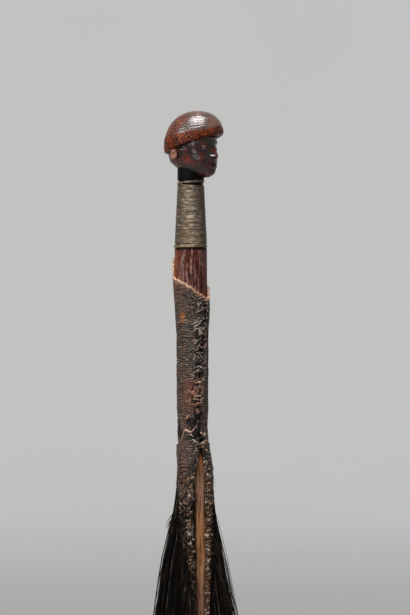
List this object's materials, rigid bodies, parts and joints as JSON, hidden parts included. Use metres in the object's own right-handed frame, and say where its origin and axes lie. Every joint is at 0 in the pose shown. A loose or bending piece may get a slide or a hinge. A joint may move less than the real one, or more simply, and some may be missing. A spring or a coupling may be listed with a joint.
{
  "type": "fly whisk",
  "caption": "Fly whisk with a carved wooden handle ending in a head, a wire-wound neck, a laced hide grip and a long tail of dark hair.",
  "frame": {"origin": "on the handle's axis in the middle of the hide grip, where the hand holds it", "axes": "+Z along the handle towards the carved head, -Y towards the viewer of the picture, +X to the viewer's right, which is the way the head faces"},
  "size_m": [0.0844, 0.0691, 0.6996],
  "materials": {
    "carved_wood": "dark red-brown, worn to a gloss",
    "aged_wire": "aged grey-brown metal",
    "grip_hide": "dry, finely wrinkled",
    "thong": "raw hide, dry",
    "tail_skin": "raw hide with stubble",
    "hair": "long straight dark hair"
  },
  "bodies": {
    "handle": {"carved_handle": "carved_wood", "neck_wire": "aged_wire", "grip_hide": "grip_hide", "grip_lacing": "thong", "tail_skin": "tail_skin", "slit_lacing_left": "thong", "slit_lacing_right": "thong", "side_hair_left": "hair", "side_hair_right": "hair"},
    "tip": {"tail_tip": "tail_skin"},
    "tuft": {"tail_tuft": "hair"}
  },
  "joints": [
    {"name": "tail_swing_side", "type": "hinge", "parent": "handle", "child": "tip", "pos_m": [0.0019, 0, -0.236], "axis": [0, 1, 0], "range_deg": [-35, 35]},
    {"name": "tail_swing_fore", "type": "hinge", "parent": "tip", "child": "tuft", "pos_m": [0.0019, 0, -0.252], "axis": [1, 0, 0], "range_deg": [-35, 35]}
  ]
}
